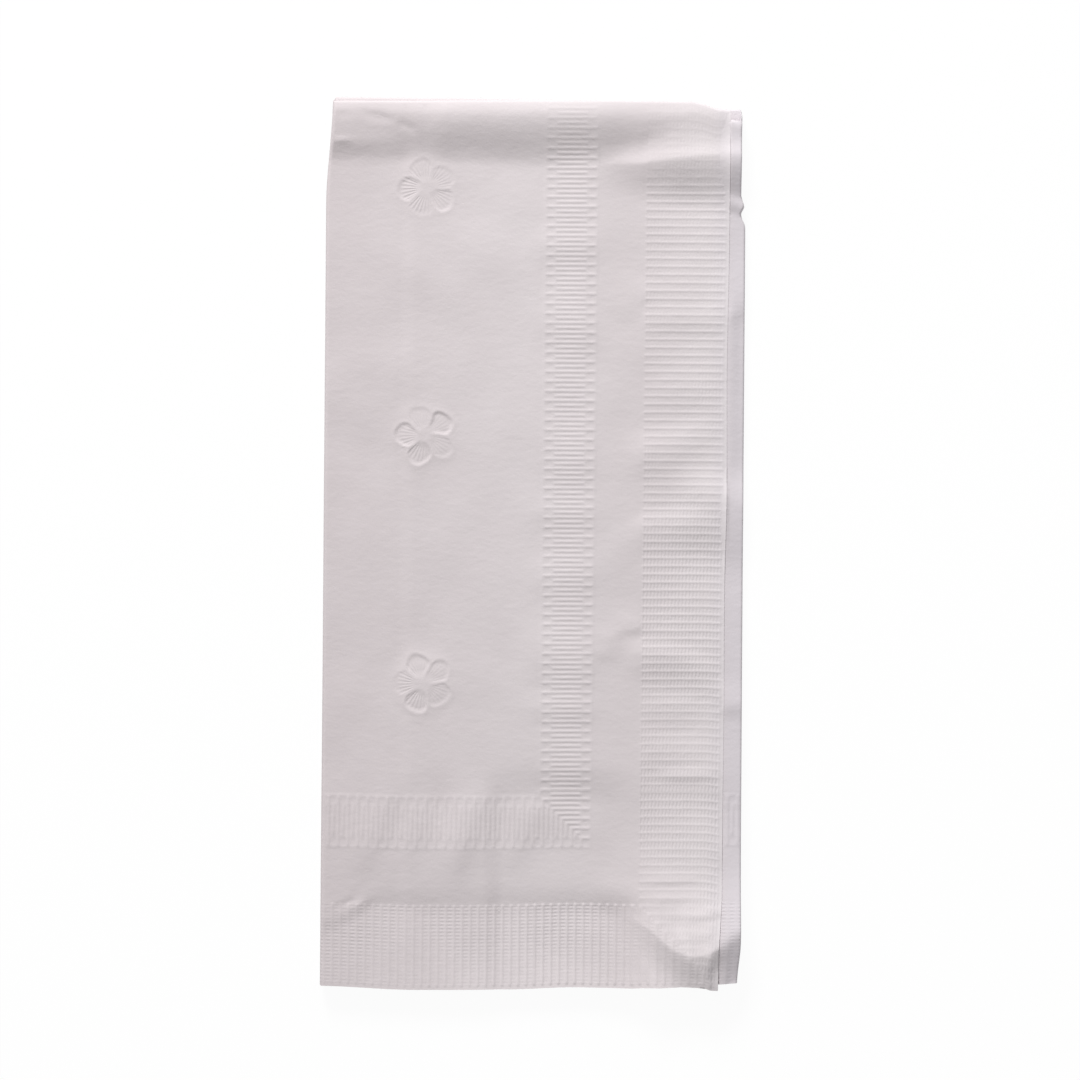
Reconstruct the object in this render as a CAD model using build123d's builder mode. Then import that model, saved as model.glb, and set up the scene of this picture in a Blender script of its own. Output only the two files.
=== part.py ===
"""Folded paper dinner napkin: one embossed tissue sheet, folded once across and twice along."""
import os
from math import ceil
from build123d import *

os.makedirs("parts", exist_ok=True)

# The sheet and how loosely its layers lie
sheet_thickness = 0.30
layer_gap = 0.30
pair_gap = 0.35

# The folded packet, seen from above with the first fold at the top and the last fold on the left
packet_length = 203.2
upper_width = 91.7
lower_width = 95.8
inner_edge_step = 1.2
back_hem_step = 0.8

# Embossed ribs of the border
emboss_height = 0.16
rib_width = 0.60
edge_band_width = 19.0
edge_rib_pitch = 1.85
side_ladder_inset = 30.0
hem_ladder_inset = 31.9
ladder_width = 11.9
ladder_side_column = 2.6
ladder_pitch = 2.26
rung_width = 0.48
fold_clearance = 4.0

# Embossed flowers
flower_from_fold = 23.3
flower_from_hem = 69.1
flower_spacing = 56.8
flower_count = 3
petal_count = 5
petal_offset = 4.15
petal_radius = 2.5
petal_rim = 0.7

# Each folded pair is two layers with the gap between them, and the pairs lie one above the other
pair_thickness = 2 * sheet_thickness + layer_gap
pair_pitch = pair_thickness + pair_gap
level_1 = pair_thickness / 2
level_2 = level_1 + pair_pitch
level_3 = level_2 + pair_pitch
level_4 = level_3 + pair_pitch
top_face = level_4 + pair_thickness / 2

# The left folds share one centre line, and the right fold joins the two lowest pairs
outer_fold_radius = (level_4 - level_1) / 2
inner_fold_radius = (level_3 - level_2) / 2
right_fold_radius = (level_2 - level_1) / 2
left_edge = -lower_width / 2
left_fold_x = left_edge + outer_fold_radius + pair_thickness / 2
right_fold_x = lower_width / 2 - right_fold_radius - pair_thickness / 2
upper_edge_x = left_edge + upper_width
inner_edge_x = upper_edge_x - inner_edge_step

# The first fold is pressed to a blunt crease at the top, and the hems are free at the bottom
hem_y = -packet_length / 2
back_hem_y = hem_y + back_hem_step
gap_half = layer_gap / 2
pair_half = pair_thickness / 2
crease_tip_half = sheet_thickness / 2
crease_tip_y = packet_length / 2
crease_y = crease_tip_y - sheet_thickness - gap_half

# Rows of ribs and rungs start at the free corner and stop where the sheet rolls into its folds
rib_rows = ceil((crease_tip_y - fold_clearance - hem_y) / edge_rib_pitch)
rib_columns = ceil((upper_edge_x - left_edge - fold_clearance) / edge_rib_pitch)
side_rib_y = [hem_y + row * edge_rib_pitch for row in range(1, rib_rows)]
hem_rib_x = [upper_edge_x - row * edge_rib_pitch for row in range(1, rib_columns)]
rung_step = ladder_pitch / 2
rung_rows = ceil((crease_tip_y - fold_clearance - hem_y - hem_ladder_inset) / rung_step)
rung_columns = ceil((upper_edge_x - left_edge - fold_clearance - side_ladder_inset) / rung_step)
side_rung_y = [hem_y + hem_ladder_inset + row * rung_step for row in range(1, rung_rows)]
hem_rung_x = [upper_edge_x - side_ladder_inset - row * rung_step for row in range(1, rung_columns)]

# Corners of the two bands, for their mitres
band_corner = (upper_edge_x, hem_y)
band_foot = (upper_edge_x - edge_band_width, hem_y)
band_head = (upper_edge_x, hem_y + edge_band_width)
band_inside = (upper_edge_x - edge_band_width, hem_y + edge_band_width)
ladder_corner = (upper_edge_x - side_ladder_inset, hem_y + hem_ladder_inset)
ladder_foot = (ladder_corner[0] - ladder_width, ladder_corner[1])
ladder_head = (ladder_corner[0], ladder_corner[1] + ladder_width)
ladder_inside = (ladder_corner[0] - ladder_width, ladder_corner[1] + ladder_width)

flower_x = left_edge + flower_from_fold
flower_places = [(flower_x, hem_y + flower_from_hem + row * flower_spacing) for row in range(flower_count)]


with BuildPart() as napkin:
    # The way the folded pair runs, from its free edge on top to its free edge inside
    with BuildLine(Plane.XZ) as fold_path:
        Line((upper_edge_x, level_4), (left_fold_x, level_4))
        ThreePointArc(
            (left_fold_x, level_4),
            (left_fold_x - outer_fold_radius, level_4 - outer_fold_radius),
            (left_fold_x, level_1),
        )
        Line((left_fold_x, level_1), (right_fold_x, level_1))
        ThreePointArc(
            (right_fold_x, level_1),
            (right_fold_x + right_fold_radius, level_1 + right_fold_radius),
            (right_fold_x, level_2),
        )
        Line((right_fold_x, level_2), (left_fold_x, level_2))
        ThreePointArc(
            (left_fold_x, level_2),
            (left_fold_x - inner_fold_radius, level_2 + inner_fold_radius),
            (left_fold_x, level_3),
        )
        Line((left_fold_x, level_3), (inner_edge_x, level_3))

    # The first fold in section: a front layer, the blunt crease and a back layer
    with BuildSketch(Plane.YZ.offset(upper_edge_x)) as pair_section:
        with BuildLine():
            Polyline(
                (hem_y, level_4 + pair_half),
                (crease_y, level_4 + pair_half),
                (crease_tip_y, level_4 + crease_tip_half),
                (crease_tip_y, level_4 - crease_tip_half),
                (crease_y, level_4 - pair_half),
                (back_hem_y, level_4 - pair_half),
                (back_hem_y, level_4 - gap_half),
                (crease_y, level_4 - gap_half),
                (crease_y + gap_half, level_4),
                (crease_y, level_4 + gap_half),
                (hem_y, level_4 + gap_half),
                close=True,
            )
        make_face()
    sweep(path=fold_path.wires()[0])

    # Ribs across the edge band, mitred where the side and the hem meet
    with BuildSketch(Plane.XY.offset(top_face)) as side_ribs:
        with Locations([(upper_edge_x - edge_band_width / 2, y) for y in side_rib_y]):
            Rectangle(edge_band_width, rib_width)
        with BuildLine():
            Polyline(band_corner, band_foot, band_inside, close=True)
        make_face(mode=Mode.SUBTRACT)
    with BuildSketch(Plane.XY.offset(top_face)) as hem_ribs:
        with Locations([(x, hem_y + edge_band_width / 2) for x in hem_rib_x]):
            Rectangle(rib_width, edge_band_width)
        with BuildLine():
            Polyline(band_corner, band_head, band_inside, close=True)
        make_face(mode=Mode.SUBTRACT)

    # Ladder band inside it: every second rung runs the full width, the others only the middle
    with BuildSketch(Plane.XY.offset(top_face)) as side_ladder:
        with Locations([(ladder_corner[0] - ladder_width / 2, y) for y in side_rung_y[1::2]]):
            Rectangle(ladder_width, rung_width)
        with Locations([(ladder_corner[0] - ladder_width / 2, y) for y in side_rung_y[0::2]]):
            Rectangle(ladder_width - 2 * ladder_side_column, rung_width)
        with BuildLine():
            Polyline(ladder_corner, ladder_foot, ladder_inside, close=True)
        make_face(mode=Mode.SUBTRACT)
    with BuildSketch(Plane.XY.offset(top_face)) as hem_ladder:
        with Locations([(x, ladder_corner[1] + ladder_width / 2) for x in hem_rung_x[1::2]]):
            Rectangle(rung_width, ladder_width)
        with Locations([(x, ladder_corner[1] + ladder_width / 2) for x in hem_rung_x[0::2]]):
            Rectangle(rung_width, ladder_width - 2 * ladder_side_column)
        with BuildLine():
            Polyline(ladder_corner, ladder_head, ladder_inside, close=True)
        make_face(mode=Mode.SUBTRACT)

    # Flowers down the plain field: raised petal rims round a plain eye
    with BuildSketch(Plane.XY.offset(top_face)) as flowers:
        with Locations(flower_places):
            with PolarLocations(petal_offset, petal_count, start_angle=36):
                Circle(petal_radius)
        with Locations(flower_places):
            with PolarLocations(petal_offset, petal_count, start_angle=36):
                Circle(petal_radius - petal_rim, mode=Mode.SUBTRACT)
    extrude(amount=emboss_height)

napkin.part.label = "napkin"
export_step(napkin.part, "parts/napkin.step")
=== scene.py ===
import math

import bmesh
import bpy
import numpy as np
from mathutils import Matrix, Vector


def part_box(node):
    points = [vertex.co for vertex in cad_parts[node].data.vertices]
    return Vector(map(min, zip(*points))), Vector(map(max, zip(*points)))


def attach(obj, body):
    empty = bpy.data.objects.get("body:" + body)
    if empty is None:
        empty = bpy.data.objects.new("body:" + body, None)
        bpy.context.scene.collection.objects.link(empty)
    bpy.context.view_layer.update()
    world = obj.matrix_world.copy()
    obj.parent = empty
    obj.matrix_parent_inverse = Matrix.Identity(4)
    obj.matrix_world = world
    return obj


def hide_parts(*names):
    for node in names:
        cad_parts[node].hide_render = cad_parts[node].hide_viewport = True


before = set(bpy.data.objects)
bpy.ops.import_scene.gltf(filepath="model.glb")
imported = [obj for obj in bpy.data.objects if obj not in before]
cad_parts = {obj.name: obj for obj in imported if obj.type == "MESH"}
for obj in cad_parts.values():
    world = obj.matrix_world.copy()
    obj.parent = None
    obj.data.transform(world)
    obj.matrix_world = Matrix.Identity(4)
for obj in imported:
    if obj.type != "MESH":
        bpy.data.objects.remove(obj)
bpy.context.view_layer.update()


# The folded sheet
# The napkin is one sheet of white two-ply tissue, folded once across and twice along, so that
# eight layers of it lie in one packet. Sizes are in millimetres, and the mesh is in metres.
MM = 0.001
box_low, box_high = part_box("napkin")
packet_length = (box_high[1] - box_low[1]) / MM
lower_width = (box_high[0] - box_low[0]) / MM
upper_width = 92.0
inner_edge_step = 1.2
back_hem_step = 0.8
sheet_thickness = 0.2
layer_gap = 0.4
pair_gap = 0.45
left_press = 0.36
right_press = 0.4

pair_thickness = 2 * sheet_thickness + layer_gap
pair_pitch = pair_thickness + pair_gap
level_1 = pair_thickness / 2
level_2 = level_1 + pair_pitch
level_3 = level_2 + pair_pitch
level_4 = level_3 + pair_pitch
outer_fold_radius = (level_4 - level_1) / 2
inner_fold_radius = (level_3 - level_2) / 2
right_fold_radius = (level_2 - level_1) / 2
left_fold_x = -lower_width / 2 + left_press * (outer_fold_radius + pair_thickness / 2)
right_fold_x = lower_width / 2 - right_press * (right_fold_radius + pair_thickness / 2)
upper_edge_x = -lower_width / 2 + upper_width
inner_edge_x = upper_edge_x - inner_edge_step

panel_lengths = (
    upper_edge_x - left_fold_x,
    math.pi * outer_fold_radius,
    right_fold_x - left_fold_x,
    math.pi * right_fold_radius,
    right_fold_x - left_fold_x,
    math.pi * inner_fold_radius,
    inner_edge_x - left_fold_x,
)
panel_ends = np.cumsum(panel_lengths)
panel_starts = panel_ends - panel_lengths
sheet_width = panel_ends[-1]


def fold_path(s):
    """Where the doubled sheet runs at distance s from its free edge on top.

    It goes straight along each panel and by a half circle, pressed narrow, round each fold. The
    result is x, z and the vector in x and z to the side which is outermost on top, pressed alike.
    """
    stretch = np.minimum(np.searchsorted(panel_ends, s, side="right"), 6)
    along = s - panel_starts[stretch]
    left = along / outer_fold_radius
    right = along / right_fold_radius
    inner = along / inner_fold_radius
    none = np.zeros_like(s)
    x = np.choose(stretch, [
        upper_edge_x - along,
        left_fold_x - left_press * outer_fold_radius * np.sin(left),
        left_fold_x + along,
        right_fold_x + right_press * right_fold_radius * np.sin(right),
        right_fold_x - along,
        left_fold_x - left_press * inner_fold_radius * np.sin(inner),
        left_fold_x + along,
    ])
    z = np.choose(stretch, [
        none + level_4,
        (level_4 + level_1) / 2 + outer_fold_radius * np.cos(left),
        none + level_1,
        (level_1 + level_2) / 2 - right_fold_radius * np.cos(right),
        none + level_2,
        (level_2 + level_3) / 2 - inner_fold_radius * np.cos(inner),
        none + level_3,
    ])
    out_x = np.choose(stretch, [
        none, -left_press * np.sin(left), none, right_press * np.sin(right),
        none, left_press * np.sin(inner), none,
    ])
    out_z = np.choose(stretch, [
        none + 1, np.cos(left), none - 1, -np.cos(right), none + 1, np.cos(inner), none - 1,
    ])
    return x, z, out_x, out_z


hem_y = -packet_length / 2
crease_reach = 0.55
crease_y = packet_length / 2 - sheet_thickness / 2 - crease_reach
crease_arc = 1.4
crease_puff = 0.13
crease_puff_reach = 3.0
front_length = crease_y - hem_y
back_start = front_length + crease_arc
sheet_length = back_start + front_length - back_hem_step


def pair_section(p):
    """The first fold in section, at distance p from the front hem.

    The front layer runs up to the crease, turns through a half ellipse and comes back as the back
    layer. The result is y, the offset from the pair's middle, and the unit normal in those two.
    The pair opens a little towards the crease.
    """
    turn = np.clip((p - front_length) / crease_arc, 0, 1) * math.pi
    y = hem_y + np.minimum(p, front_length) - np.maximum(p - back_start, 0) + crease_reach * np.sin(turn)
    puff = crease_puff * np.exp(-((crease_y - y) / crease_puff_reach) ** 2)
    half = (sheet_thickness + layer_gap) / 2 + puff
    return y, half * np.cos(turn), np.sin(turn), np.cos(turn)


def ease(t):
    """A smooth step from 0 at t = 0 to 1 at t = 1."""
    t = np.clip(t, 0, 1)
    return t * t * (3 - 2 * t)


def hump(t):
    """A smooth hump, 1 at t = 0 and almost nothing beyond t = 2 either way."""
    return np.exp(-t * t)


def glide(x, places, values):
    """A smooth line through the values at the places: an eased step from each to the next."""
    places = np.asarray(places, float)
    values = np.asarray(values, float)
    k = np.clip(np.searchsorted(places, x) - 1, 0, len(places) - 2)
    t = (x - places[k]) / (places[k + 1] - places[k])
    return values[k] + (values[k + 1] - values[k]) * ease(t)


crest_round = 0.1


def roll(x, y, crest, above, below, sharp=0.0, keen=0.0):
    """A rolled ridge whose crest passes through points (x, y, height).

    Across the crest it falls away in an eased slope, over one length above it and another below it.
    A sharp one falls steeply just below the crest and then runs out, and a keen one climbs up to its
    crest along a quarter wave.
    """
    places, line, heights = zip(*crest)
    across = y - np.interp(x, places, line)
    t = np.abs(across) / np.where(across > 0, above, below)
    eased = 1 - ease(t)
    steep = (1 - np.clip(t * t / (t + crest_round) * (1 + crest_round), 0, 1)) ** 2
    quarter = 1 - np.sin(math.pi / 2 * np.minimum(t, 1))
    fall = eased + np.where(across > 0, keen * (quarter - eased), sharp * (steep - eased))
    return glide(x, places, heights) * fall


mark_taper = 0.35


def crease_mark(x, y, start, end, before, after, height):
    """A line pressed into the paper from start to end: a hump across it, eased at both ends.

    The hump has one width on the line's left and upper side, before it, and another one after it.
    """
    run = np.subtract(end, start)
    length = math.hypot(*run)
    along = ((x - start[0]) * run[0] + (y - start[1]) * run[1]) / length
    across = ((y - start[1]) * run[0] - (x - start[0]) * run[1]) / length
    taper = length * mark_taper
    raised = height * hump(across / np.where(across > 0, after, before))
    return raised * ease(along / taper) * ease((length - along) / taper)


# How the packet lies
# The stack is loose: it puffs up in a roll under the first fold, sags towards its free edges and
# lifts in a bulge at the corner where the free edges meet.
plain_height = 4.4
edge_sag = 0.5
left_rise = 0.5
low_left_rise = 0.8
side_rise = 1.3
corner_rise = 2.4
ripple_steepness = 0.001
ripple_draw = np.random.default_rng(12)
ripple_waves = 26
ripple_length = ripple_draw.uniform(9.0, 34.0, ripple_waves)
ripple_way = ripple_draw.uniform(0, 2 * math.pi, ripple_waves)
ripple_phase = ripple_draw.uniform(0, 2 * math.pi, ripple_waves)


def ripple(x, y):
    """The sheet's faint unevenness: plane waves of many lengths and directions, added up."""
    total = np.zeros_like(x)
    for length, way, phase in zip(ripple_length, ripple_way, ripple_phase):
        wave = (x * math.cos(way) + y * math.sin(way)) * 2 * math.pi / length
        total += ripple_steepness * length * np.sin(wave + phase)
    return total


# Each crest is a row of points (x, y, height). Each pair of rows has places in x and the values there.
first_fold_crest = (
    (-49, 97.9, 1.4), (-42, 97.7, 1.5), (-36, 97.6, 1.5), (-30, 97.5, 1.6), (-26, 97.4, 1.8),
    (-20, 97.3, 2.5), (-1, 97.3, 2.8), (14, 97.3, 2.5), (23, 97.3, 1.7), (32, 97.4, 1.3),
    (40, 97.5, 1.3), (49, 97.5, 1.3),
)
first_fold_above = ((-49, -30, -10, 16, 33, 49), (6.2, 7.2, 8.6, 8.4, 5.6, 5.6))
first_fold_below = ((-49, -36, -27, -18, -1, 14, 24, 33, 49), (12.5, 12.5, 10, 11, 11.8, 10.5, 9, 7.5, 6.5))
left_lip_crest = ((-49, 91.6, 0.04), (-44, 91.7, 0.05), (-37, 91.9, 0.04), (-31, 92.1, 0))
left_step = ((-48, -44, -38, -31, -27), (0.58, 0.58, 0.48, 0.3, 0))
left_step_y = 91.8
left_step_run = 4.5
side_roll_crest = (
    (15.5, 87.4, 0), (18, 86.9, 0.5), (24, 86.9, 1.1), (29, 87.8, 1.6), (33, 88.3, 1.9), (40, 89.0, 2.1),
    (49, 88.8, 2.1),
)
side_roll_above = ((15, 24, 33, 49), (4, 5.5, 9, 10))
side_roll_below = ((15, 20, 24, 33, 49), (5, 7, 9, 12, 14))
side_hollow_crest = ((16, 86.5, 0), (19, 83.5, 0.25), (24, 79.5, 0.5), (33, 77.5, 0.8), (49, 77.0, 0.9))
field_step = (
    (-48, -42, -35, -22, -16, -11, -6, 10, 17, 24),
    (0.05, 0.1, 0.3, 0.4, 0.15, 0.2, 0.9, 1.05, 0.6, 0.0),
)
field_step_line = ((-36, -18, -2, 14), (-51.8, -51.2, -50.0, -50.3))
field_step_run = 9.6
hem_step = ((-48, -36, 0, 16, 21, 25, 27), (0.25, 0.45, 0.6, 0.7, 0.5, 0.1, 0.0))
hem_step_run = ((-48, -40, -33, -10, 28), (2.2, 2.4, 5.0, 6.4, 6.4))
hem_step_line = (
    (-48, -43.3, -39.7, -36.5, -34, -29.6, 0, 16, 25),
    (-88.3, -86.4, -84.3, -82.2, -81.2, -81.5, -81.3, -81.8, -82.4),
)
hem_lift_line = ((-48, -30, -12, 6, 20, 27), (0.5, 1.1, 1.55, 2.0, 2.2, 2.3))
hem_lift_end = (27.6, -100)
hem_lift_slant = 0.57
hem_lift_fade = 8.6
hem_curl_y = -82
hem_curl_run = 20
hem_curl_most = 1.1
hem_curl_cube = 0.45
hem_curl_start = 0.35
hem_ridge_crest = ((14, -78.5, 0), (18, -78.8, 0.3), (23, -79.5, 0.3), (27, -81, 0))
corner_crest = (
    (16, -81, 0), (20, -83, 0.3), (24, -85.5, 0.65), (27, -87.3, 1.0), (30, -89.8, 1.4), (33, -92.2, 1.9),
    (37, -93.3, 2.8), (41, -92.7, 3.2), (44, -90.4, 3.2), (47, -88.2, 3.1), (49, -87.3, 3.1),
)
corner_above = ((16, 22, 27, 33, 37, 49), (6, 8, 11, 14.5, 17.5, 16))
corner_below = ((16, 27, 30, 34, 38, 42, 46, 49), (6, 9, 10, 14, 18, 17, 15, 15))


def pile_height(x, y):
    """Height of the packet's top layer over the table: a plain level with its rolls, steps and sags.

    Rolls are added and hollows taken away, and a step is an eased fall just below its own line. The
    hem curls up with the distance from the hem band's inner side, partly as its cube.
    """
    z = plain_height + ripple(x, y)
    z -= edge_sag * ease((x - 29) / 18)
    z += left_rise * ease((-18 - x) / 30)
    z += low_left_rise * ease((-26 - y) / 50) * ease((-4 - x) / 24)
    z += roll(x, y, first_fold_crest, glide(x, *first_fold_above), glide(x, *first_fold_below))
    z += roll(x, y, left_lip_crest, above=1.6, below=1.2)
    z -= glide(x, *left_step) * ease((left_step_y - y) / left_step_run)
    z += roll(x, y, side_roll_crest, glide(x, *side_roll_above), glide(x, *side_roll_below),
              sharp=0.55, keen=0.6)
    z -= roll(x, y, side_hollow_crest, above=10.5, below=26.0)
    z -= glide(x, *field_step) * ease((np.interp(x, *field_step_line) - y) / field_step_run)
    z -= glide(x, *hem_step) * ease((np.interp(x, *hem_step_line) - y) / glide(x, *hem_step_run) + 0.5)
    past_end = x + hem_lift_slant * (y - hem_lift_end[1]) - hem_lift_end[0]
    hem_lift = glide(x, *hem_lift_line) * (1 - ease(past_end / hem_lift_fade))
    away = np.clip((hem_curl_y - y) / hem_curl_run, 0, hem_curl_most)
    curl = (1 - hem_curl_cube) * away + hem_curl_cube * away ** 3
    z += hem_lift * curl * (0.5 + 0.5 * ease(away / hem_curl_start))
    z += roll(x, y, hem_ridge_crest, above=5.0, below=5.0)
    to_corner = corner_rise * ease((-58 - y) / 34) * ease((x - 22) / 8)
    z += to_corner + side_rise * ease((-12 - y) / 60) * ease((x - 20) / 22)
    z += roll(x, y, corner_crest, glide(x, *corner_above), glide(x, *corner_below), sharp=0.7, keen=0.95)
    return z


# Each ridge has a crest, and the lengths over which it falls away above it and below it.
crumple_ridges = (
    (((-3, 68.0, 0), (2, 68.2, 0.30), (12, 68.3, 0.30), (18, 68.4, 0)), 6.0, 6.0),
    (((-4, 52.0, 0), (3, 51.6, 0.15), (12, 51.6, 0.15), (19, 51.0, 0)), 11.0, 9.0),
    (((-4, 20.0, 0), (2, 19.7, 0.30), (12, 19.5, 0.30), (18, 19.2, 0)), 16.0, 7.5),
    (((-3, 7.0, 0), (2, 6.8, 0.15), (12, 6.8, 0.15), (17, 6.6, 0)), 4.4, 4.4),
    (((-4, -7.5, 0), (2, -7.4, 0.20), (12, -7.3, 0.20), (18, -6.5, 0)), 6.4, 6.4),
    (((-5, -25.5, 0), (1, -25.7, 0.35), (12, -25.7, 0.35), (18, -26.0, 0)), 10.0, 10.0),
    (((-4, -37.5, 0), (1, -37.5, 0.22), (12, -37.8, 0.22), (17, -38.5, 0)), 5.0, 5.0),
    (((21, 51.0, 0), (27, 51.3, 0.26), (40, 51.4, 0.28), (45, 51.6, 0)), 4.6, 5.0),
    (((44.0, 52.2, 0), (45.2, 52.5, 0.28), (49, 53.2, 0.32)), 4.0, 1.2),
    (((25, 35.6, 0), (30, 35.8, 0.25), (38, 35.6, 0.30), (44, 35.0, 0)), 7.0, 7.0),
    (((21, 20.6, 0), (26, 21.6, 0.46), (32, 22.5, 0.50), (37, 24.1, 0.35), (41, 25.0, 0)), 6.0, 7.5),
    (((32, 11.5, 0), (37, 11.0, 0.55), (41, 10.6, 0.85), (43.6, 10.0, 0.90), (45, 9.6, 0)), 8.0, 14.0),
    (((43.4, 9.6, 0), (44.5, 9.6, 0.95), (49, 9.2, 0.90)), 8.0, 16.0),
    (((14, -7.0, 0), (18, -2.5, 0.06), (21, 1.0, 0.18), (26, 4.2, 0.42), (36, 4.7, 0.42), (40, 4.0, 0.2),
      (43, 3, 0)), 4.7, 8.0),
    (((20, -25.0, 0), (24, -25.3, 0.40), (30, -25.6, 0.48), (36, -26.5, 0.42), (40, -28.5, 0.40),
      (43, -34, 0.3), (45, -35, 0)), 4.4, 7.4),
    (((43.4, -37.2, 0), (44.8, -37.2, 0.45), (49, -37.2, 0.45)), 7.5, 1.6),
    (((24, -37.0, 0), (27, -37.1, 0.20), (35, -37.1, 0.20), (39, -37.0, 0)), 3.4, 7.0),
    (((24, -47.0, 0), (27, -47.0, 0.22), (36, -47.0, 0.22), (41, -47.0, 0)), 5.5, 6.0),
    (((43.9, 88.0, 0), (44.7, 88.0, 1.20), (49, 88.0, 1.20)), 13.0, 10.5),
    (((43.8, 78.4, 0), (44.8, 78.0, 0.45), (49, 76.6, 0.55)), 2.8, 2.2),
    (((28, -53.0, 0), (32, -52.8, 0.28), (38, -52.6, 0.28), (44, -52.3, 0)), 2.3, 2.3),
    (((24, -76.4, 0), (28, -76.8, 0.12), (36, -76.4, 0.14), (42, -75.6, 0)), 2.2, 1.6),
    (((24, -80.4, 0), (29, -80.8, 0.14), (35, -80.6, 0.12), (40, -80.0, 0)), 2.4, 1.5),
    (((28, -84.2, 0), (34, -84.6, 0.10), (39, -84.4, 0.20), (43, -83.6, 0.16), (45, -83.2, 0)), 2.6, 1.5),
    (((31, -88.4, 0), (35, -89.0, 0.12), (40, -88.4, 0.16), (44, -87.0, 0)), 2.6, 2.0),
    (((41.2, -100.4, 0), (43.0, -100.8, 0.60), (44.4, -101.0, 0.60), (46, -101.0, 0)), 6.0, 3.0),
    (((44.8, -101.4, 0), (45.8, -101.6, 0.50), (49, -101.6, 0.50)), 2.6, 3.0),
    (((-46, 73.0, 0), (-40, 70.0, 0.12), (-30, 64.0, 0.16), (-18, 56.0, 0.12), (-10, 50, 0)), 9.0, 9.0),
    (((-47, 42.0, 0), (-40, 42.0, 0.20), (-32, 41.0, 0.15), (-24, 41.0, 0)), 8.0, 8.0),
)


def crumple(x, y):
    """Low ridges of the uppermost sheet alone, where it has been pushed together: added up."""
    total = np.zeros_like(x)
    for crest, above, below in crumple_ridges:
        total += roll(x, y, crest, above, below)
    return total


# Each mark has a start, an end, its widths before and after the line, and a height.
marks = (
    ((27.5, 60.5), (18.5, 50.1), 5.0, 2.4, 0.34),
    ((26.5, -18.4), (18.2, -19.8), 3.6, 1.5, 0.32),
    ((19.6, -18.6), (16.6, -28.0), 3.0, 1.6, 0.28),
    ((-36.0, -79.6), (-46.5, -84.6), 0.8, 0.8, -0.15),
    ((-10.5, -52.5), (-20.0, -80.5), 5.0, 3.2, 0.50),
    ((-30.0, -52.0), (-40.0, -78.0), 4.5, 2.8, 0.38),
    ((3.0, -55.0), (-6.0, -77.0), 4.0, 2.8, 0.32),
    ((-22.0, -54.0), (-30.0, -76.0), 4.0, 2.6, 0.22),
    ((36.5, -61.1), (45.3, -74.3), 1.8, 4.0, 0.18),
    ((33.0, -86.0), (38.0, -99.0), 1.6, 1.1, 0.24),
    ((44.0, -85.0), (40.0, -99.0), 1.4, 1.4, 0.22),
    ((-46.0, 96.9), (-41.0, 98.3), 0.8, 0.8, -0.14),
    ((-41.5, 98.4), (-31.5, 95.9), 0.9, 0.9, -0.22),
    ((-32.0, 96.1), (-26.5, 93.6), 1.0, 1.0, -0.18),
    ((-46.5, 91.6), (-42.0, 91.7), 0.6, 0.6, 0.20),
)


def face_marks(x, y):
    """Creases of the top face, added up."""
    total = np.zeros_like(x)
    for start, end, before, after, height in marks:
        total += crease_mark(x, y, start, end, before, after, height)
    return total


# The strip is the part of the second fold that shows. Its fall goes by places in y.
layer_sway = 0.03
sway_way = (0.11, 0.07)
top_crease_shift = -0.55
top_crease_slope = 0.0078
corner_tuck = 1.9
low_crease_shift = 0.2
low_crease_draw = 4.9
lowest_crease_out = 3.1
top_hem_line = (
    (-48, -27, -6, 11, 22, 29, 36, 40, 43),
    (0.3, -0.45, -0.3, 0.3, 0.3, 0.85, 1.05, 1.0, 0.3),
)
low_hem_shift = 0.35
low_hem_draw = 1.5
left_corner_draw = 1.5
edge_wave = 0.12
edge_wave_run = 9.0
edge_turn_slope = 0.0042
corner_draw_in = 0.75
second_fold_out = 0.35
notch_y = 75.6
notch_depth = 1.1
notch_half = 1.5
above_notch_draw = 1.0
low_end_draw = 0.7
strip_rise = 1.15
strip_rise_x = 42.5
strip_rise_run = 1.15
strip_fall_line = ((-100, -66, -20, 8, 22, 54, 60, 76), (0.05, 0.06, 0.0, 0.05, 0.35, 0.5, 0.1, 0.0))
strip_fall_x = 44.6
strip_fall_run = 3.4
strip_level = 0.914
top_pair_share = 0.862
pinch_gap = 0.155
pinch_spread = 0.1


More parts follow.
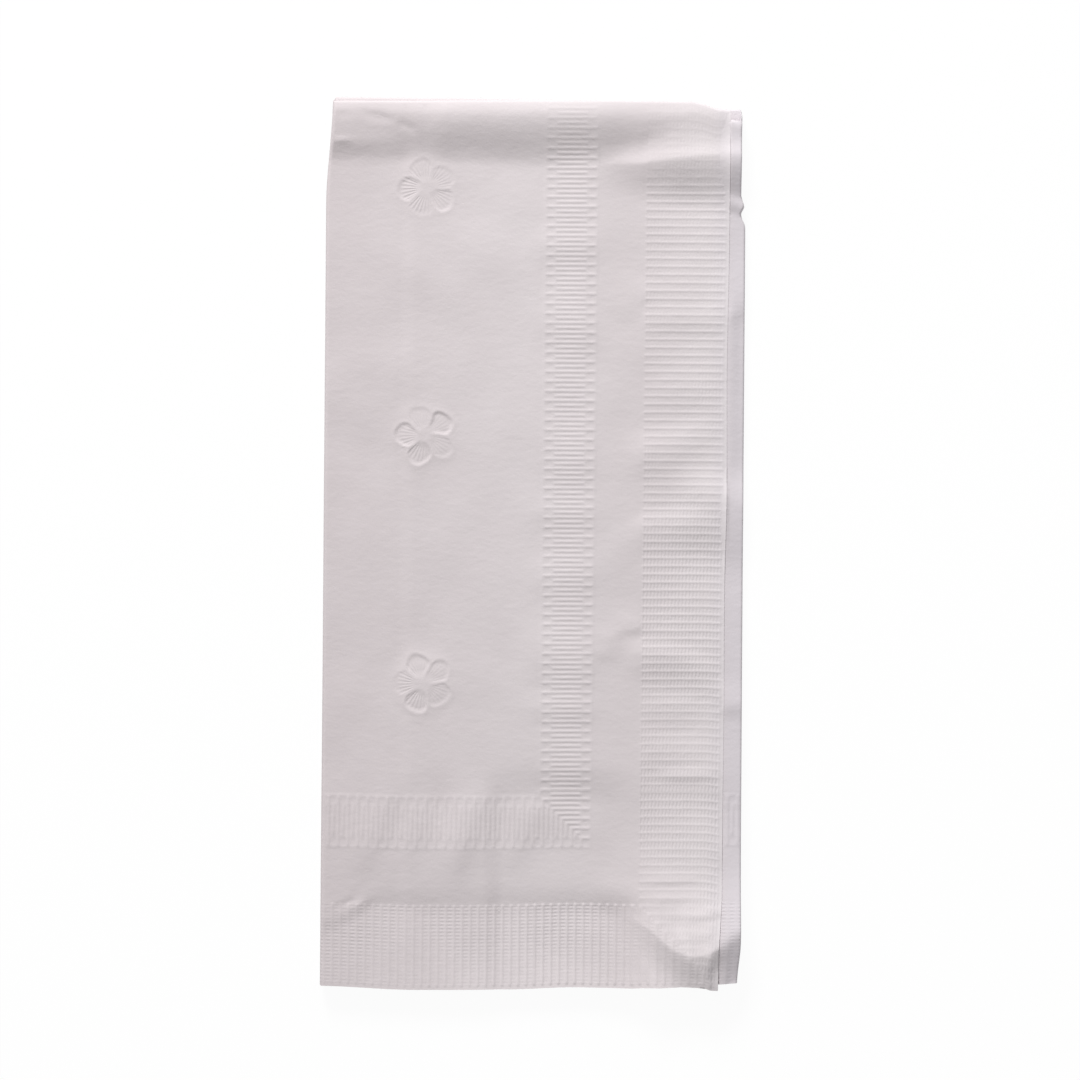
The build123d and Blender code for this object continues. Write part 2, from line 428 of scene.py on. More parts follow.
def lie(x, y, z, s):
    """Moves a point of the neat folded sheet to where the loose packet has it.

    The first fold and the hems of the top panel and of the lower panels run along their own lines,
    the corners draw in a little, and heights are shared out between the table and the top layer. The
    second fold opens up beside the free edge of the top panel, which lies close upon it.
    """
    on_top = 1 - ease((s - panel_starts[1]) / panel_lengths[1])
    lowest_panel = ease((s - panel_starts[1]) / panel_lengths[1]) * ease((panel_ends[3] - s) / 1.7)
    innermost = ease((s - panel_starts[5]) / panel_lengths[5])
    top_crease = top_crease_shift + top_crease_slope * x
    tucked = -corner_tuck * ease((x - 36) / 5.5) * ease((y - 86) / 15)
    low_draw = low_crease_draw - lowest_crease_out * lowest_panel
    low_crease = low_crease_shift - low_draw * np.clip((x + 10) / 57, 0, 1) ** 2
    top_hem = glide(x, *top_hem_line)
    low_hem = low_hem_shift + low_hem_draw * np.clip((x + 48) / 96, 0, 1) ** 2
    share = (y - hem_y) / packet_length
    crease_shift = on_top * top_crease + (1 - on_top) * low_crease
    hem_shift = on_top * top_hem + (1 - on_top) * low_hem
    y_lying = y + share ** 3 * crease_shift + (1 - share) ** 3 * hem_shift + on_top * tucked
    x_lying = x + left_corner_draw * ease((y - 78) / 24) * ease((-22 - x) / 24)
    edge_turn = edge_turn_slope * y
    x_lying += edge_turn * (on_top + innermost) * ease((x + 46) / 88)
    x_lying += edge_wave * np.sin(y / edge_wave_run) * on_top * ease((x - 36) / 8) * ease(1.6 * share)
    corner_draw = corner_draw_in * ease((-78 - y) / 16)
    x_lying -= corner_draw * on_top * ease((x - 36) / 8)
    right_edge = ease((x - 40) / 7) * (1 - on_top)
    out = second_fold_out - above_notch_draw * ease((y_lying - 77) / 3)
    out = out - notch_depth * hump((y_lying - notch_y) / notch_half) - low_end_draw * ease((-92 - y) / 10)
    x_lying += right_edge * out
    lowest = level_1 - (sheet_thickness + layer_gap) / 2
    highest = level_4 + (sheet_thickness + layer_gap) / 2
    share_up = np.maximum((z - lowest) / (highest - lowest), 0)
    open_fold = strip_rise * ease((x_lying - edge_turn + corner_draw - strip_rise_x) / strip_rise_run)
    open_fold = open_fold - glide(y, *strip_fall_line) * ease((x_lying - strip_fall_x) / strip_fall_run)
    share_up = share_up * (1 + (1 - on_top - innermost) * open_fold)
    sway_wave = np.sin(sway_way[0] * x_lying + sway_way[1] * y_lying)
    sway = layer_sway * sway_wave * np.sin(math.pi * share_up)
    lifted = pile_height(x_lying, y_lying) - sheet_thickness
    height = (share_up + sway) * lifted
    in_pair = pinch_spread * (share_up - top_pair_share) / (1 - top_pair_share)
    pinched = strip_level * lifted + pinch_gap + in_pair
    height = height + on_top * ease((x - 41.5) / 2.6) * (pinched - height)
    return x_lying, y_lying, sheet_thickness / 2 + height


# The embossing
# Steel rolls press the pattern into the flat sheet: an edge band of ribs, a ladder band inside it,
# both mitred at the corner, and five-petal flowers down the plain field.
edge_band_width = 19.0
edge_margin = 0.8
edge_rib_pitch = 1.857
edge_rib_half = 0.45
edge_rib_height = 0.1
low_side_loss = 0.3
hem_rib_press = ((18, 36, 60, 86), (2.5, 2.3, 1.35, 0.95))
side_ladder_inset = 30.0
hem_ladder_inset = 31.9
ladder_width = 11.9
ladder_margin = 0.1
ladder_side_column = 2.5
ladder_pitch = 2.228
rung_half = 0.48
rung_height = 0.16
cell_height = 0.06
flower_from_side = 68.8
flower_from_hem = 69.6
flower_spacing = 56.8
flower_count = 3
flower_radius = 7.15
flower_swell = 0.28
petal_wall = 1.1
petal_depth = 0.23
petal_waist = 0.58
petal_bulge = 0.42
petal_rim = 0.035
petal_rim_half = 0.6
petal_press = 0.78
petal_press_swing = 0.38
parting_height = 0.85
parting_half = 0.4
flower_eye = 1.0
flower_eye_wall = 2.2
bloom_press = (1.0, 1.25, 0.75)
petal_warp = 0.28
petal_turn = 0.4 * math.pi


def rib(t, pitch, half):
    """Rounded ribs at every whole pitch: a raised cosine over each rib's half width."""
    off = np.abs((t / pitch + 0.5) % 1 - 0.5) * pitch
    return 0.5 + 0.5 * np.cos(math.pi * np.minimum(off / half, 1))


def between(t, low, high, soft=0.4):
    """1 between low and high, easing to 0 over a short way at each end."""
    return ease((t - low) / soft + 0.5) * ease((high - t) / soft + 0.5)


def flower(right, up, bloom):
    """A pressed flower about its centre: five cups with low rims, parted by ridges, round a plain eye.

    The outline's radius swings with the angle from the nearest petal's axis, and each petal of each
    bloom has been pressed a little more or less.
    """
    right, up = (
        right + petal_warp * np.sin(0.9 * up + 1.7 * bloom),
        up + petal_warp * np.sin(0.8 * right + 2.1 * bloom + 1),
    )
    reach = np.hypot(right, up)
    angle = np.arctan2(up, right) - petal_turn / 2
    petal = np.round(angle / petal_turn)
    swing = angle - petal * petal_turn
    unevenness = petal_press + petal_press_swing * np.sin(2.4 * (petal % 5) + 1.9 * bloom)
    pressed = bloom_press[bloom] * unevenness
    outline = flower_radius * (petal_waist + petal_bulge * np.maximum(np.cos(2.5 * swing), 0) ** 0.5)
    parting = reach * np.sin(petal_turn / 2 - np.abs(swing))
    cup = ease((outline - reach) / petal_wall) * ease((reach - flower_eye) / flower_eye_wall)
    cup = cup * (1 - parting_height * hump(parting / parting_half))
    rim = hump((reach - outline) / petal_rim_half)
    swell = 1 - ease((reach - 3) / 6)
    return flower_swell * (1.35 - 0.35 * bloom) * swell + pressed * (petal_rim * rim - petal_depth * cup)


def emboss(from_side, from_hem):
    """Height of the pressed pattern at a distance from the side edge and from the hem.

    Each band's ribs lie across it and repeat along it, so at the corner the nearer edge decides.
    The ladder's outer columns are rows of rounded cells, and its middle has a rung at each half pitch.
    """
    across = np.minimum(from_side, from_hem)
    along = np.maximum(from_side, from_hem)
    side_press = 1 - low_side_loss * ease((74 - from_hem) / 14)
    pressed = np.where(from_side < from_hem, side_press, glide(from_side, *hem_rib_press))
    height = edge_rib_height * pressed * rib(along, edge_rib_pitch, edge_rib_half)
    height = height * between(across, edge_margin, edge_band_width)
    across = np.minimum(from_side - side_ladder_inset, from_hem - hem_ladder_inset)
    along = np.maximum(from_side - side_ladder_inset, from_hem - hem_ladder_inset)
    middle = between(across, ladder_side_column, ladder_width - ladder_side_column)
    full = between(across, ladder_margin, ladder_width - ladder_margin, soft=0.8)
    full_rungs = rib(along, ladder_pitch, rung_half) * full
    short_rungs = rib(along + ladder_pitch / 2, ladder_pitch, rung_half) * middle
    rungs = np.maximum(full_rungs, short_rungs)
    from_column = np.abs(np.abs(across - ladder_width / 2) - (ladder_width - ladder_side_column) / 2)
    cell_across = from_column / (ladder_side_column / 2)
    cell_along = np.abs((along / ladder_pitch) % 1 - 0.5) * 2
    ring = (cell_across ** 3 + cell_along ** 3) ** (1 / 3)
    cell = ease((ring - 0.4) / 0.55) * (1 - ease((cell_across - 0.9) / 0.5))
    height = height + np.maximum(rung_height * rungs, cell_height * cell)
    for bloom in range(flower_count):
        up = from_hem - flower_from_hem - bloom * flower_spacing
        height = height + flower(flower_from_side - from_side, up, bloom)
    return height


def pressed_flat(x, y):
    """The share of the embossing that is left: little on the taut rolls by the folds and corner."""
    left = 1 - 0.8 * ease((y - 79) / 7) * ease((x - 20) / 6)
    left = left - 0.45 * ease((y - 88) / 6) * ease((20 - x) / 6)
    return left - 0.5 * ease((x - 28) / 8) * ease((-78 - y) / 6)


# The mesh
# The sheet is two coarse grids of points, one on each face, joined round its rim. Over the top
# panel the outer face is a patchwork of finer grids that carry the embossing, and seams of
# triangles close the gaps between grids of unlike spacing.
blocks = []
side_places = []
hem_places = []
quads = []
triangles = []
edge_thinning = 0.7
edge_thin_reach = 1.1
strip_x = 42.6
strip_emboss_x = 43.9


def lay_points(s, p, outer):
    """Adds a grid of points at the distances s by p on the outer or inner face, and numbers them.

    A point is the folded path plus the pair's section, laid loose, then moved half the sheet's
    thickness along its normal, less at a cut edge. The uppermost sheet is crumpled, and its outer
    face is embossed.
    """
    grid_s, grid_p = np.meshgrid(s, p, indexing="ij")
    path_x, path_z, out_x, out_z = fold_path(grid_s)
    y, offset, normal_y, normal_out = pair_section(grid_p)
    x, y, z = lie(path_x + out_x * offset, y, path_z + out_z * offset, grid_s)
    from_side = np.minimum(grid_s, sheet_width - grid_s)
    from_hem = np.minimum(grid_p, sheet_length - grid_p)
    in_front = ease((front_length + 1 - grid_p) / 2)
    on_top = (1 - ease((grid_s - panel_ends[0]) / 2)) * np.maximum(in_front, ease((x - 40.5) / 2))
    on_strip = ease((x - strip_x) / 1.2) * ease((grid_s - panel_ends[3] + 1.0) / 0.8)
    on_strip = on_strip * (grid_s < panel_ends[4]) * in_front
    z = z + np.maximum(on_top, on_strip) * crumple(x, y)
    thinned = 1 - edge_thinning * ease((edge_thin_reach - from_side) / edge_thin_reach)
    rise = (0.5 if outer else -0.5) * sheet_thickness * thinned
    in_sight = np.maximum(grid_s < panel_ends[0], on_strip * ease((x - strip_emboss_x) / 0.6))
    shown = outer * (grid_p < front_length) * in_sight
    rise = rise + shown * emboss(from_side, from_hem) * pressed_flat(x, y)
    x = x + rise * out_x * normal_out
    y = y + rise * normal_y
    z = z + rise * out_z * normal_out + outer * in_front * on_top * face_marks(x, y)
    first = sum(len(block) for block in blocks)
    blocks.append(np.stack([x, y, z], -1).reshape(-1, 3))
    side_places.append(from_side.ravel())
    hem_places.append(from_hem.ravel())
    return first + np.arange(grid_s.size).reshape(grid_s.shape)


def weave(index):
    """Quads between the neighbouring points of a grid."""
    corners = [index[:-1, :-1], index[1:, :-1], index[1:, 1:], index[:-1, 1:]]
    quads.append(np.stack(corners, -1).reshape(-1, 4))


def seam(a, a_at, b, b_at):
    """Triangles between two rows of points whose places along the seam are a_at and b_at.

    Each piece of a row makes a triangle with the point of the other row that its middle is nearest.
    """
    a_middle = (a_at[1:] + a_at[:-1]) / 2
    b_middle = (b_at[1:] + b_at[:-1]) / 2
    triangles.append(np.stack([a[:-1], a[1:], b[np.searchsorted(b_middle, a_middle, side="right")]], -1))
    triangles.append(np.stack([b[1:], b[:-1], a[np.searchsorted(a_middle, b_middle, side="left")]], -1))


def stops(*zones):
    """Places along a line: each zone (start, end, step) is divided evenly, in steps no longer than asked."""
    parts = []
    for start, end, step in zones:
        pieces = max(math.ceil((end - start) / step), 1)
        parts.append(np.linspace(start, end, pieces, endpoint=False))
    return np.concatenate(parts + [[zones[-1][1]]])


def in_step(start, end, pitch, divisions, origin):
    """Places from start to end at an even share of a pitch, counted from the origin of that pattern."""
    step = pitch / divisions
    first = math.ceil((start - origin) / step)
    last = math.floor((end - origin) / step)
    return origin + step * np.arange(first, last + 1)


seam_gap = 0.3
band_end = edge_band_width + 0.8
side_inner = side_ladder_inset + ladder_width + 1.0
hem_inner = hem_ladder_inset + ladder_width + 1.0
fine_left = panel_ends[0] - seam_gap
fine_top = front_length - seam_gap
past_band = band_end + seam_gap
past_side_ladder = side_inner + seam_gap
past_hem_ladder = hem_inner + seam_gap
fine_steps = 8
corner_steps = 6
cell_margin = 0.7
cell_row = 2.8
cell_step = 0.33
mitre_step = 0.28
bloom_half = 7.6
bloom_step = 0.29
field_spacing = 2.0


def across_edge(step):
    """Places across the edge band, close where its ribs end."""
    return stops((0, 0.6, 0.3), (0.6, 1.2, 0.3), (1.2, edge_band_width - 0.4, step),
                 (edge_band_width - 0.4, edge_band_width + 0.4, 0.2), (edge_band_width + 0.4, band_end, 0.4))


def across_ladder(inset, inner, step):
    """Places across the gap inside the edge band and the ladder band, close over its rows of cells."""
    first, last = inset - cell_margin, inset + ladder_width + cell_margin
    row_end, row_start = inset + cell_row, inset + ladder_width - cell_row
    return stops((past_band, first, step), (first, row_end, cell_step), (row_end, row_start, 2.2),
                 (row_start, last, cell_step), (last, inner, 0.3))


def across_mitre(inset, inner, step):
    """Places across the gap and the ladder band where the two ladders meet, close all over the mitre."""
    return stops((past_band, inset - cell_margin, step), (inset - cell_margin, inner, mitre_step))


bloom_zones = []
zone_start = past_hem_ladder
for bloom in range(flower_count):
    middle = flower_from_hem + bloom * flower_spacing
    bloom_zones.append((zone_start, middle - bloom_half, field_spacing))
    bloom_zones.append((middle - bloom_half, middle + bloom_half, bloom_step))
    zone_start = middle + bloom_half
field_up = stops(*bloom_zones, (zone_start, fine_top, 0.6))
field_across = stops((past_side_ladder, flower_from_side - bloom_half, field_spacing),
                     (flower_from_side - bloom_half, flower_from_side + bloom_half, bloom_step),
                     (flower_from_side + bloom_half, fine_left, 1.4))
edge_corner = in_step(0, band_end, edge_rib_pitch, corner_steps, 0)
patch_stops = (
    (
        (edge_corner, edge_corner),
        (across_edge(2.6), in_step(past_band, hem_inner, edge_rib_pitch, fine_steps, 0)),
        (across_edge(2.6), in_step(past_hem_ladder, fine_top, edge_rib_pitch, fine_steps, 0)),
    ),
    (
        (in_step(past_band, side_inner, edge_rib_pitch, fine_steps, 0), across_edge(1.4)),
        (across_mitre(side_ladder_inset, side_inner, 2.0), across_mitre(hem_ladder_inset, hem_inner, 1.6)),
        (across_ladder(side_ladder_inset, side_inner, 2.0),
         in_step(past_hem_ladder, fine_top, ladder_pitch, fine_steps, hem_ladder_inset)),
    ),
    (
        (in_step(past_side_ladder, fine_left, edge_rib_pitch, fine_steps, 0), across_edge(1.4)),
        (in_step(past_side_ladder, fine_left, ladder_pitch, fine_steps, side_ladder_inset),
         across_ladder(hem_ladder_inset, hem_inner, 1.6)),
        (field_across, field_up),
    ),
)
patches = [[lay_points(s, p, True) for s, p in row] for row in patch_stops]
for i in range(3):
    for j in range(3):
        weave(patches[i][j])
        if j < 2:
            seam(patches[i][j][:, -1], patch_stops[i][j][0],
                 patches[i][j + 1][:, 0], patch_stops[i][j + 1][0])
        if i < 2:
            seam(patches[i][j][-1], patch_stops[i][j][1],
                 patches[i + 1][j][0], patch_stops[i + 1][j][1])
        if i < 2 and j < 2:
            quads.append(np.array([[patches[i][j][-1, -1], patches[i + 1][j][0, -1],
                                    patches[i + 1][j + 1][0, 0], patches[i][j + 1][-1, 0]]]))

strip_start = panel_ends[3] - 1.0
strip_end = panel_ends[3] + 5.5
edge_zone = 26.0
hem_ladder_end = hem_ladder_inset + ladder_width
sheet_side = stops(
    (0, edge_zone, 3.2), (edge_zone, panel_ends[0], 5.0), (panel_ends[0], panel_ends[1], 0.5),
    (panel_ends[1], panel_ends[2] - edge_zone, 9.0), (panel_ends[2] - edge_zone, panel_ends[2], 4.0),
    (panel_ends[2], strip_start, 0.3), (strip_start, strip_end, 1.1),
    (strip_end, panel_ends[3] + edge_zone, 4.0), (panel_ends[3] + edge_zone, panel_ends[4], 9.0),
    (panel_ends[4], panel_ends[5], 0.3),
    (panel_ends[5], sheet_width - edge_zone, 9.0), (sheet_width - edge_zone, sheet_width, 4.0),
)
sheet_up = stops(
    (0, edge_band_width, 2.4), (edge_band_width, hem_ladder_inset, 2.6),
    (hem_ladder_inset, hem_ladder_inset + 0.4, 0.4), (hem_ladder_inset + 0.4, hem_ladder_end - 0.4, 2.8),
    (hem_ladder_end - 0.4, hem_ladder_end, 0.4), (hem_ladder_end, front_length - edge_zone, 3.0),
    (front_length - edge_zone, front_length, 1.5), (front_length, back_start, 0.2),
    (back_start, back_start + edge_zone, 2.4), (back_start + edge_zone, sheet_length - 30, 7.0),
    (sheet_length - 30, sheet_length, 2.8),
)
outer_face = lay_points(sheet_side, sheet_up, True)
inner_face = lay_points(sheet_side, sheet_up, False)
fold_at = int(np.argmin(np.abs(sheet_side - panel_ends[0])))
crease_at = int(np.argmin(np.abs(sheet_up - front_length)))
strip_at = [int(np.argmin(np.abs(sheet_side - place))) for place in (strip_start, strip_end)]
weave(outer_face[fold_at : strip_at[0] + 1])
weave(outer_face[strip_at[0] : strip_at[1] + 1, crease_at:])
weave(outer_face[strip_at[1] :])
weave(outer_face[: fold_at + 1, crease_at:])
weave(inner_face)

strip_s = stops((strip_start + 0.2, strip_end - 0.2, 0.31))
strip_rows = [hem_ladder_inset + row for row in (-0.7, 2.8, 9.1, 12.6)]
strip_p = stops((0, 0.8, 0.4), (0.8, edge_band_width, 1.4), (edge_band_width, strip_rows[0], 2.0),
                (strip_rows[0], strip_rows[1], 0.3), (strip_rows[1], strip_rows[2], 2.1),
                (strip_rows[2], strip_rows[3], 0.3), (strip_rows[3], front_length - edge_zone, 1.6),
                (front_length - edge_zone, fine_top, 0.7))
strip = lay_points(strip_s, strip_p, True)
weave(strip)
for end, strip_line in ((strip_at[0], strip[0]), (strip_at[1], strip[-1])):
    seam(strip_line, strip_p, outer_face[end, : crease_at + 1], sheet_up[: crease_at + 1])
across_strip = slice(strip_at[0], strip_at[1] + 1)
seam(strip[:, -1], strip_s, outer_face[across_strip, crease_at], sheet_side[across_strip])
seam(strip[:, 0], strip_s, inner_face[across_strip, 0], sheet_side[across_strip])
for end, corner in ((strip_at[0], strip[0, 0]), (strip_at[1], strip[-1, 0])):
    triangles.append(np.array([[corner, outer_face[end, 0], inner_face[end, 0]]]))

rows = [np.concatenate([patch_stops[i][j][1] for j in range(3)]) for i in (0, 2)]
columns = [np.concatenate([patch_stops[i][j][0] for i in range(3)]) for j in (0, 2)]
edge_chain = np.concatenate([patches[0][j][0] for j in range(3)])
left_chain = np.concatenate([patches[2][j][-1] for j in range(3)])
hem_chain = np.concatenate([patches[i][0][:, 0] for i in range(3)])
crease_chain = np.concatenate([patches[i][2][:, -1] for i in range(3)])
seam(edge_chain, rows[0], inner_face[0, : crease_at + 1], sheet_up[: crease_at + 1])
seam(left_chain, rows[1], outer_face[fold_at, : crease_at + 1], sheet_up[: crease_at + 1])
seam(hem_chain, columns[0], inner_face[: fold_at + 1, 0], sheet_side[: fold_at + 1])
seam(crease_chain, columns[1], outer_face[: fold_at + 1, crease_at], sheet_side[: fold_at + 1])
triangles.append(np.array([
    [hem_chain[-1], outer_face[fold_at, 0], inner_face[fold_at, 0]],
    [edge_chain[-1], outer_face[0, crease_at], inner_face[0, crease_at]],
]))
weave(np.stack([outer_face[fold_at : strip_at[0] + 1, 0], inner_face[fold_at : strip_at[0] + 1, 0]]))
weave(np.stack([outer_face[strip_at[1] :, 0], inner_face[strip_at[1] :, 0]]))
weave(np.stack([outer_face[:, -1], inner_face[:, -1]]))
weave(np.stack([outer_face[0, crease_at:], inner_face[0, crease_at:]]))
weave(np.stack([outer_face[-1], inner_face[-1]]))


sharp_from = math.radians(70)


def closed_mesh(name, points, four_sided, three_sided, **places):
    """Writes the points that have faces into a mesh with their faces, and turns all faces outward."""
    every_corner = np.concatenate([four_sided.ravel(), three_sided.ravel()])
    used, corners = np.unique(every_corner, return_inverse=True)
    sizes = np.concatenate([np.full(len(four_sided), 4), np.full(len(three_sided), 3)])
    mesh = bpy.data.meshes.new(name)
    mesh.vertices.add(len(used))
    mesh.vertices.foreach_set("co", (points[used] * MM).ravel())
    mesh.loops.add(len(corners))
    mesh.loops.foreach_set("vertex_index", corners.astype(np.int32))
    mesh.polygons.add(len(sizes))
    mesh.polygons.foreach_set("loop_start", (np.cumsum(sizes) - sizes).astype(np.int32))
    mesh.update(calc_edges=True)
    for key, values in places.items():
        mesh.attributes.new(key, "FLOAT", "POINT").data.foreach_set("value", values[used])
    work = bmesh.new()
    work.from_mesh(mesh)
    bmesh.ops.recalc_face_normals(work, faces=work.faces)
    work.to_mesh(mesh)
    work.free()
    mesh.shade_smooth()
    mesh.set_sharp_from_angle(angle=sharp_from)
    return mesh


napkin_mesh = closed_mesh("napkin", np.concatenate(blocks), np.concatenate(quads), np.concatenate(triangles),
                          from_side=np.concatenate(side_places), from_hem=np.concatenate(hem_places))
napkin = bpy.data.objects.new("napkin_sheet", napkin_mesh)
bpy.context.collection.objects.link(napkin)


# The tissue
# Bleached pulp, off-white with a faint warm grey, quite matt. Its fibres and the creping from the
# drying roll show as a fine grain, and a few dark specks of bark stay in the pulp.
class Link:
    """A shader socket that takes part in Python expressions: each operator adds one Math node."""

    tree = None

    def __init__(self, socket):
        self.socket = socket

    @classmethod
    def node(cls, kind, settings, inputs, output=0):
        """Adds a node of that kind, with its settings first and then a value or a link for each input."""
        made = cls.tree.nodes.new(kind)
        for name, value in settings.items():
            setattr(made, name, value)
        for key, value in inputs.items():
            if isinstance(value, Link):
                cls.tree.links.new(value.socket, made.inputs[key])
            else:
                made.inputs[key].default_value = value
        return Link(made.outputs[output]) if len(made.outputs) else None

    @classmethod
    def maths(cls, operation, *values):
        """Adds one Math node."""
        return cls.node("ShaderNodeMath", {"operation": operation}, dict(enumerate(values)))

    def __add__(self, other):
        return Link.maths("ADD", self, other)

    def __sub__(self, other):
        return Link.maths("SUBTRACT", self, other)

    def __rsub__(self, other):
        return Link.maths("SUBTRACT", other, self)

    def __mul__(self, other):
        return Link.maths("MULTIPLY", self, other)

    def __lt__(self, other):
        return Link.maths("LESS_THAN", self, other)

    def __gt__(self, other):
        return Link.maths("GREATER_THAN", self, other)

    __radd__ = __add__
    __rmul__ = __mul__


def noise(vector, scale, detail, roughness):
    """Smooth random values at that many to the metre, with finer and fainter ones added up."""
    inputs = {"Vector": vector, "Scale": scale, "Detail": detail, "Roughness": roughness}
    return Link.node("ShaderNodeTexNoise", {}, inputs, "Fac")


def graded(value, start, end, low, high, kind="LINEAR"):
    """Runs from low, where the value is at the start, to high at the end, and is level beyond them."""
    inputs = {0: value, 1: start, 2: end, 3: low, 4: high}
    return Link.node("ShaderNodeMapRange", {"interpolation_type": kind}, inputs)


def toned(share, first, second):
    """A colour between the first and the second, by that share of the second."""
    return Link.node("ShaderNodeMix", {"data_type": "RGBA"}, {"Factor": share, 6: first, 7: second}, 2)


def scatter(vector, cell, output):
    """One point in each cell of a grid, at random: the distance to the nearest point, or its colour."""
    inputs = {"Vector": vector, "Scale": 1 / cell, "Randomness": 1.0}
    return Link.node("ShaderNodeTexVoronoi", {}, inputs, output)


tissue_colour = (0.706, 0.658, 0.669, 1)
# The darker end serves both the paper's random mottle and painted shade.
tissue_dark_mottle_and_painted_shade = (0.622, 0.564, 0.575, 1)
# A painted cool tint that stands for sky light on the second fold.
painted_fold_tint = (0.662, 0.620, 0.652, 1)
# A painted highlight for the bright line along the cut edge.
painted_rim_highlight = (0.80, 0.752, 0.762, 1)
speck_colour = (0.16, 0.13, 0.12, 1)
mottle_share = 0.4
fibre_height = 0.00004
crepe_height = 0.00008
crepe_stretch = (0.6, 1.0, 1.0)
knurl_pitch = 0.81
knurl_height = 0.000038
vein_spread = math.radians(9.5)
vein_half = 0.52
vein_height = 0.00002
speck_cell = 0.021
speck_radius = 0.00018
speck_pick = 0.7
speck_strength = 0.6

tissue = bpy.data.materials.new("tissue_paper")
tissue.use_nodes = True
tissue.node_tree.nodes.clear()
Link.tree = tissue.node_tree
place = Link.node("ShaderNodeTexCoord", {}, {}, "Object")
across = Link.node("ShaderNodeSeparateXYZ", {}, {"Vector": place}, "X")
from_side = Link.node("ShaderNodeAttribute", {"attribute_name": "from_side"}, {}, "Fac")
from_hem = Link.node("ShaderNodeAttribute", {"attribute_name": "from_hem"}, {}, "Fac")
mottle = noise(place, scale=90.0, detail=4.0, roughness=0.6)
patchy = noise(place, scale=45.0, detail=2.0, roughness=0.5)
fibre = noise(place, scale=1500.0, detail=3.0, roughness=0.65)
crepe_place = Link.node("ShaderNodeMapping", {}, {"Vector": place, "Scale": crepe_stretch})
crepe = noise(crepe_place, scale=600.0, detail=2.0, roughness=0.5)

# The knurl is a fine wave across each band, deepest between the ribs and worn away in patches.
across_band = Link.maths("MINIMUM", from_side, from_hem)
along_band = Link.maths("MAXIMUM", from_side, from_hem)
in_band = (across_band < edge_band_width) * (across_band > edge_margin)
knurl = Link.maths("SINE", across_band * (2 * math.pi / knurl_pitch))
valley = 0.6 - 0.4 * Link.maths("COSINE", along_band * (2 * math.pi / edge_rib_pitch))
worn = graded(patchy, 0.38, 0.62, 0.25, 1.0)
knurl_across = graded(across, -0.030, 0.012, 0.8, 0.62)
knurl_up = graded(from_hem, 6.0, 13.0, 0.65, 1.3)
knurl_side = graded(from_hem, 30.0, 165.0, 1.35, 0.4)
knurl_share = knurl_side + (from_hem < from_side) * (knurl_across * knurl_up - knurl_side)

# The veins are a wave of the angle round each flower, in the middle of its petals.
right = flower_from_side - from_side
up = Link.maths("WRAP", from_hem - flower_from_hem, flower_spacing / 2, -flower_spacing / 2)
reach = Link.maths("SQRT", right * right + up * up)
angle = Link.maths("ARCTAN2", up, right) - petal_turn / 2
swing = Link.maths("WRAP", angle, petal_turn / 2, -petal_turn / 2)
vein_ring = graded(reach, 2.0, 3.4, 0.0, 1.0, "SMOOTHSTEP") * graded(reach, 5.4, 6.4, 1.0, 0.0, "SMOOTHSTEP")
in_field = from_hem > flower_from_hem - flower_spacing / 2
in_petal = Link.maths("ABSOLUTE", swing) < vein_half
vein = Link.maths("COSINE", swing * (2 * math.pi / vein_spread)) * vein_ring * in_field * in_petal
clear = graded(patchy, 0.40, 0.58, 0.35, 1.3)
veined = graded(right, -3.0, 2.0, 1.15, 0.7)

grain = fibre * fibre_height + crepe * crepe_height
knurled = knurl * valley * in_band * worn * knurl_share * knurl_height
relief = grain + knurled + vein * veined * clear * vein_height
bump = Link.node("ShaderNodeBump", {}, {"Strength": 1.0, "Distance": 1.0, "Height": relief})

# The tone is partly painted light and shade: painted shade greyer towards the last fold and in the gap
# inside the edge band, painted light over the edge band, a painted cool tint of sky light on the second fold
# and a painted highlight at the cut edge. The mottle is the paper's own random tone.
painted_fold_shade = graded(across, -0.046, -0.002, -0.08, 0.42)
painted_gap_shade = graded(across, 0.008, 0.020, 0.0, -0.18)
painted_band_light = graded(from_side, 2.0, 19.0, 0.5, 0.0)
mottle_and_painted_light = painted_fold_shade + painted_gap_shade + painted_band_light + mottle * mottle_share
paper = toned(mottle_and_painted_light, tissue_dark_mottle_and_painted_shade, tissue_colour)
# Painted cool tint of sky light on the second fold.
paper = toned(graded(across, 0.040, 0.046, 0.0, 0.85), paper, painted_fold_tint)
# Painted highlight along the cut edge.
paper = toned(graded(from_side, 0.3, 1.7, 0.42, 0.0), paper, painted_rim_highlight)
speck_draw = scatter(place, speck_cell, "Color")
chosen = Link.node("ShaderNodeSeparateColor", {}, {"Color": speck_draw}, "Red") > speck_pick
speck = (scatter(place, speck_cell, "Distance") < speck_radius / speck_cell) * chosen
coloured = toned(speck * speck_strength, paper, speck_colour)
tissue_shader = Link.node("ShaderNodeBsdfPrincipled", {}, {
    "Base Color": coloured, "Roughness": 0.95, "Specular IOR Level": 0.15, "Normal": bump,
})
Link.node("ShaderNodeOutputMaterial", {}, {"Surface": tissue_shader})
napkin.data.materials.append(tissue)

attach(napkin, "root")
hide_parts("napkin")


# The table
# A plain white surface that the packet lies on. To the camera it is a lit white that still takes
# the packet's soft shadow.
def backdrop_ray():
    """1 where a ray shows the background: straight to the camera, by a gloss or through glass."""
    seen = Link.node("ShaderNodeLightPath", {}, {}, "Is Camera Ray")
    seen = seen + Link.node("ShaderNodeLightPath", {}, {}, "Is Glossy Ray")
    seen = seen + Link.node("ShaderNodeLightPath", {}, {}, "Is Transmission Ray")
    return Link.maths("MINIMUM", seen, 1.0)


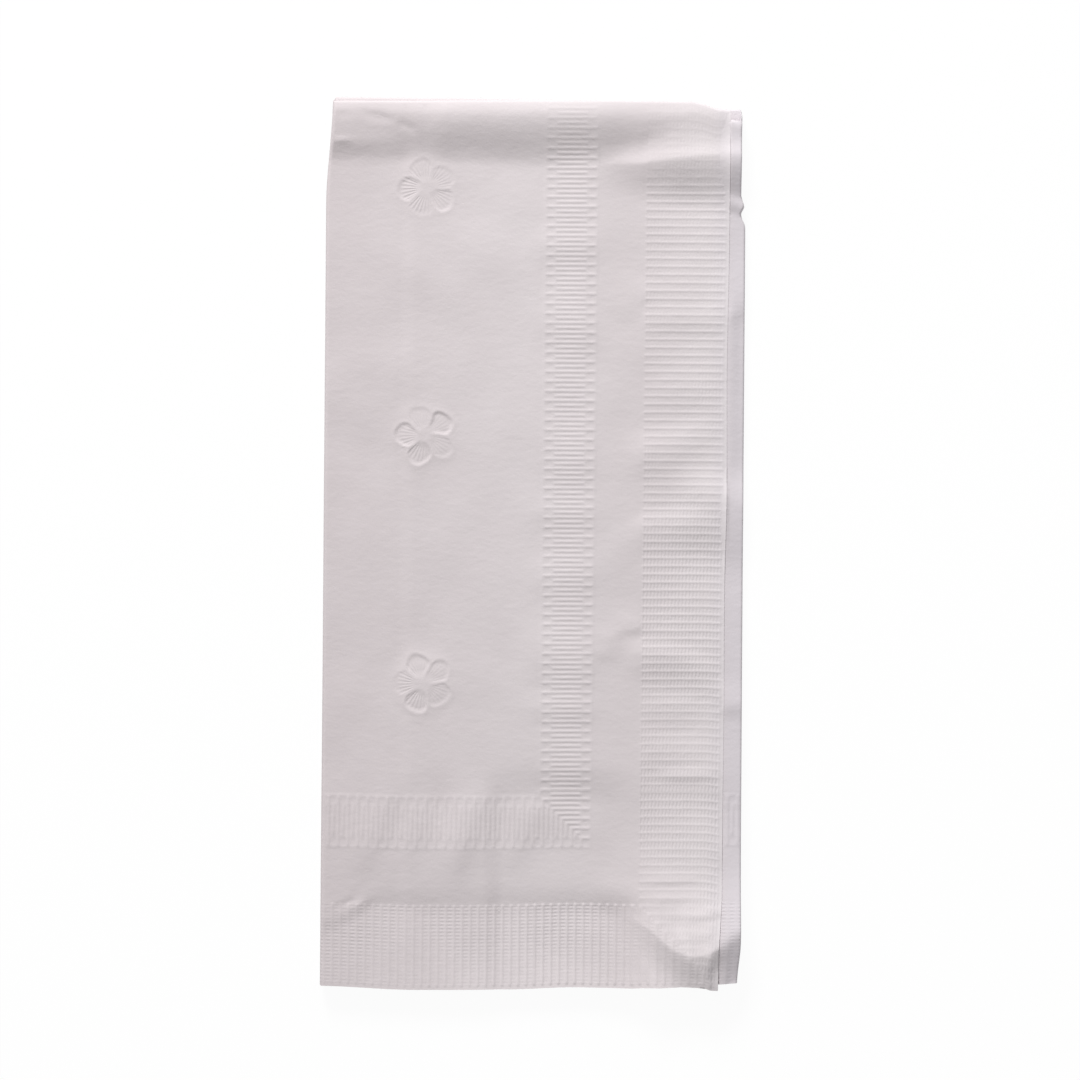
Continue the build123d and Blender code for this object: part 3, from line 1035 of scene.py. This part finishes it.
floor_half = 3.0
floor_drop = -0.0003
floor_white = (0.95, 0.95, 0.95, 1)
glow_share = 0.95
floor_mesh = bpy.data.meshes.new("table")
floor_mesh.from_pydata(
    [(-floor_half, -floor_half, floor_drop), (floor_half, -floor_half, floor_drop),
     (floor_half, floor_half, floor_drop), (-floor_half, floor_half, floor_drop)], [], [(0, 1, 2, 3)])
floor = bpy.data.objects.new("table", floor_mesh)
bpy.context.collection.objects.link(floor)
white = bpy.data.materials.new("white_table")
white.use_nodes = True
white.node_tree.nodes.clear()
Link.tree = white.node_tree
lit = Link.node("ShaderNodeBsdfDiffuse", {}, {"Color": floor_white})
glow = Link.node("ShaderNodeEmission", {}, {"Color": (1, 1, 1, 1), "Strength": 1.0})
surface = Link.node("ShaderNodeMixShader", {}, {0: backdrop_ray() * glow_share, 1: lit, 2: glow})
Link.node("ShaderNodeOutputMaterial", {}, {"Surface": surface})
floor_mesh.materials.append(white)


# Light and camera
# Soft daylight from a window beyond the first fold, a little to the left, with even light from all
# round, and a long lens that looks straight down.
even_strength = 0.38
scene = bpy.context.scene
scene.view_settings.view_transform = "Standard"
world = bpy.data.worlds.new("even_light")
scene.world = world
world.use_nodes = True
world.node_tree.nodes.clear()
Link.tree = world.node_tree
even = Link.node("ShaderNodeBackground", {}, {"Color": (1, 1, 1, 1), "Strength": even_strength})
backdrop = Link.node("ShaderNodeBackground", {}, {"Color": (1, 1, 1, 1), "Strength": 1.0})
sky = Link.node("ShaderNodeMixShader", {}, {0: backdrop_ray(), 1: even, 2: backdrop})
Link.node("ShaderNodeOutputWorld", {}, {"Surface": sky})

window_height = math.radians(36)
window_turn = math.radians(-15)
window_far = 1.6
window_size = 0.55
window_share = 0.62
window_data = bpy.data.lights.new("window", "AREA")
window_data.shape = "DISK"
window_data.size = window_size
window_data.energy = window_share * math.pi ** 2 * window_far ** 2 / math.sin(window_height)
window = bpy.data.objects.new("window", window_data)
window.location = (
    window_far * math.cos(window_height) * math.sin(window_turn),
    window_far * math.cos(window_height) * math.cos(window_turn),
    window_far * math.sin(window_height),
)
window.rotation_euler = (-(math.pi / 2 - window_height), 0, -window_turn)
bpy.context.collection.objects.link(window)

photo_mm_per_pixel = 0.2286
photo_pixels = 1080
lens_mm = 100.0
sensor_mm = 36.0
aim = (1.71, 0.8, 4.0)
camera_turn = math.radians(0.45)
camera_data = bpy.data.cameras.new("camera")
camera_data.lens = lens_mm
camera_data.sensor_width = sensor_mm
camera = bpy.data.objects.new("camera", camera_data)
camera_rise = photo_pixels * photo_mm_per_pixel * lens_mm / sensor_mm
camera.location = (aim[0] * MM, aim[1] * MM, (camera_rise + aim[2]) * MM)
camera.rotation_euler = (0, 0, camera_turn)
bpy.context.collection.objects.link(camera)
scene.camera = camera
